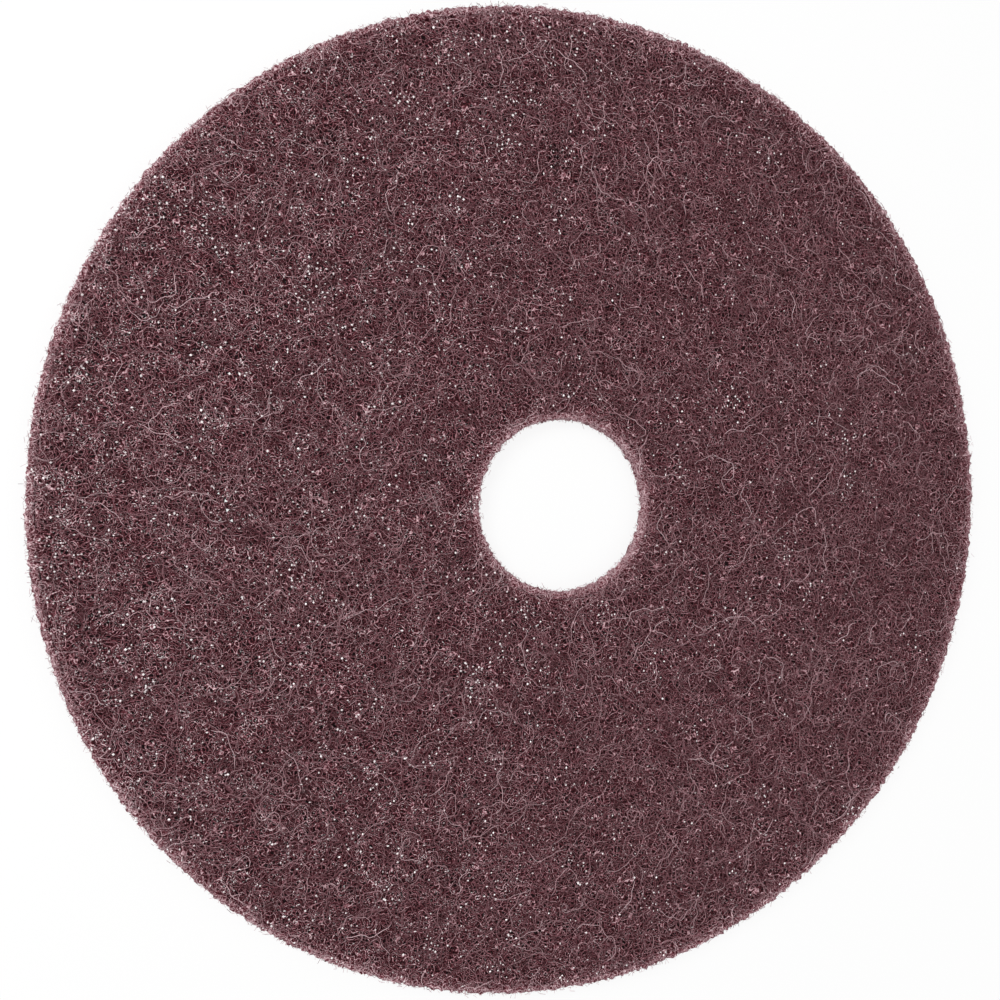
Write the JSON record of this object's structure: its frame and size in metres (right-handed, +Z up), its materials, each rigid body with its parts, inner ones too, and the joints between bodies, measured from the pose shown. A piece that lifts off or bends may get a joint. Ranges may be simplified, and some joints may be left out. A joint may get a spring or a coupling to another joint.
{
  "type": "floor pad",
  "caption": "Round floor machine pad of open nonwoven abrasive web, ragged at its cut edges, with a round centre hole.",
  "frame": {"origin": "the middle of the lower face, on the axis of the centre hole, where the pad lies on the floor", "axes": "+Z up, along the axis of the centre hole and through the pad's thickness; +X and +Y lie across the round face"},
  "size_m": [0.5097, 0.5094, 0.01],
  "materials": {
    "nonwoven_web": "dusty maroon crimped fibres, bonded by a hard resin that holds fine abrasive grains"
  },
  "bodies": {
    "root": {"nonwoven_web": "nonwoven_web"}
  },
  "joints": []
}
